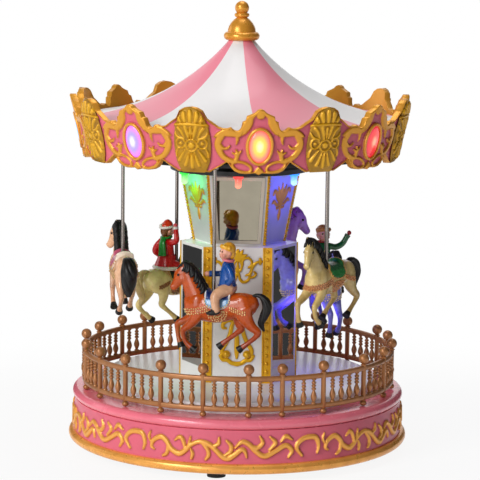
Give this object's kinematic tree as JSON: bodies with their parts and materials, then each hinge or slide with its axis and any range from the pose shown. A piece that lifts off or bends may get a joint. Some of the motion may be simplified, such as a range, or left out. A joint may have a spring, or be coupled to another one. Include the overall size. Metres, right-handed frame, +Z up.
{
  "type": "carousel music box",
  "caption": "Table-top carousel music box: balustraded round base, mirrored column, striped canopy with a crown of lights, and horses on poles that a gear motor turns.",
  "frame": {"origin": "on the table, under the middle of the column", "axes": "+Z up along the column, -Y to the front, +X to the right seen from the front"},
  "size_m": [0.23, 0.23, 0.3002],
  "materials": {
    "pink": "gloss pink paint",
    "gold": "satin gold paint",
    "bronze": "satin bronze paint",
    "white": "gloss white",
    "silver": "satin silver paint",
    "mirror": "silvered",
    "stripe": "satin, pink and white stripes",
    "black_plastic": "fine matt",
    "rubber": "matt",
    "steel": "plated",
    "chrome": "polished",
    "cell": null,
    "speaker_black": "matt",
    "board_green": "lacquered board",
    "nylon": "natural nylon",
    "lamp_clear": "clear, lit in colours",
    "horse_chestnut": "gloss paint",
    "horse_cream": "gloss paint",
    "horse_pale": "gloss paint",
    "horse_peach": "gloss paint",
    "rider_blue": "gloss paint",
    "rider_green": "gloss paint",
    "rider_red": "gloss paint"
  },
  "bodies": {
    "base": {"base_skirt": "pink", "crown_panels": "pink", "base_rim": "gold", "finial": "gold", "light_bezels": "gold", "crown_shells": "gold", "pilasters": "gold", "sun_reliefs": "gold", "crest_reliefs": "gold", "bead_strips": "gold", "lily_reliefs": "gold", "fence": "bronze", "deck": "white", "column": "white", "lantern": "white", "lantern_frames": "silver", "column_mirrors": "mirror", "lantern_mirrors": "mirror", "roof": "stripe", "base_plate": "black_plastic", "battery_door": "black_plastic", "battery_box": "black_plastic", "power_switch": "black_plastic", "led_plate": "black_plastic", "canopy_plate": "black_plastic", "feet": "rubber", "base_screws": "steel", "battery_contacts": "steel", "gear_motor": "steel", "centre_tube": "steel", "battery_cells": "cell", "speaker": "speaker_black", "circuit_board": "board_green", "thrust_washer": "nylon", "column_lamps": "lamp_clear", "canopy_lamps": "lamp_clear", "light_lenses": "lamp_clear"},
    "carrier": {"carrier_disc": "black_plastic", "carrier_bush": "nylon", "carrier_gear": "nylon", "pole_collars": "silver", "pole_1": "chrome", "pole_2": "chrome", "pole_3": "chrome", "pole_4": "chrome", "pole_5": "chrome", "pole_6": "chrome", "horse_1": "horse_chestnut", "horse_2": "horse_cream", "horse_3": "horse_pale", "horse_4": "horse_pale", "horse_5": "horse_cream", "horse_6": "horse_peach", "rider_1": "rider_blue", "rider_2": "rider_green", "rider_3": "rider_red"},
    "pinion": {"drive_pinion": "nylon"},
    "switch": {"switch_knob": "black_plastic"}
  },
  "joints": [
    {"name": "carrier_turn", "type": "hinge", "parent": "base", "child": "carrier", "pos_m": [0, 0, 0.2], "axis": [0, 0, -1], "continuous": true},
    {"name": "pinion_turn", "type": "hinge", "parent": "base", "child": "pinion", "pos_m": [0.02327, 0.02773, 0.205], "axis": [0, 0, -1], "continuous": true},
    {"name": "switch_slide", "type": "slide", "parent": "base", "child": "switch", "axis": [1, 0, 0], "range_m": [0, 0.004]}
  ],
  "couplings": [
    {"joint": "pinion_turn", "follows": "carrier_turn", "ratio": -3}
  ]
}
